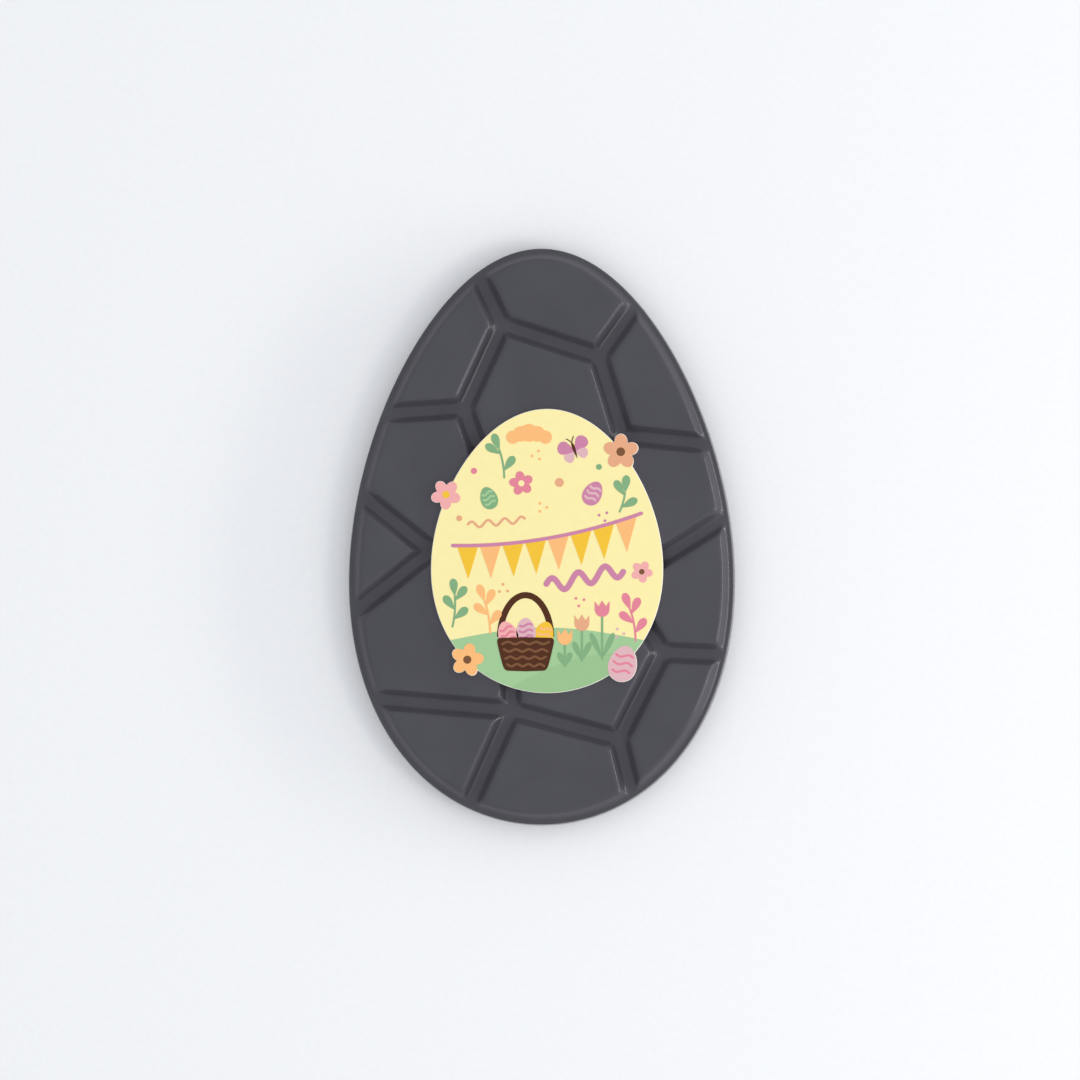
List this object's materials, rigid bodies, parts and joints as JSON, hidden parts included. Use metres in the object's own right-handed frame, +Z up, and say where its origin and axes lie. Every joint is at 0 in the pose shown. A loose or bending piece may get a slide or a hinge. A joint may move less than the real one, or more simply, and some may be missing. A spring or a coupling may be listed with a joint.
{
  "type": "flat chocolate egg",
  "caption": "Flat moulded chocolate egg with a relief of raised cells, and a thin printed icing plaque laid on its middle.",
  "frame": {"origin": "centre of the egg's flat back, where it rests", "axes": "+Y along the egg towards its narrow end, +X across it to the right, +Z up out of the relief"},
  "size_m": [0.1004, 0.15, 0.0102],
  "materials": {
    "dark_chocolate": "tempered dark chocolate with a faint cool grey bloom, smooth satin sheen from a plastic mould",
    "printed_icing": "matt sugar icing sheet with a cream ground and a print in food colours"
  },
  "bodies": {
    "root": {"chocolate_egg": "dark_chocolate", "icing_plaque": "printed_icing"}
  },
  "joints": []
}
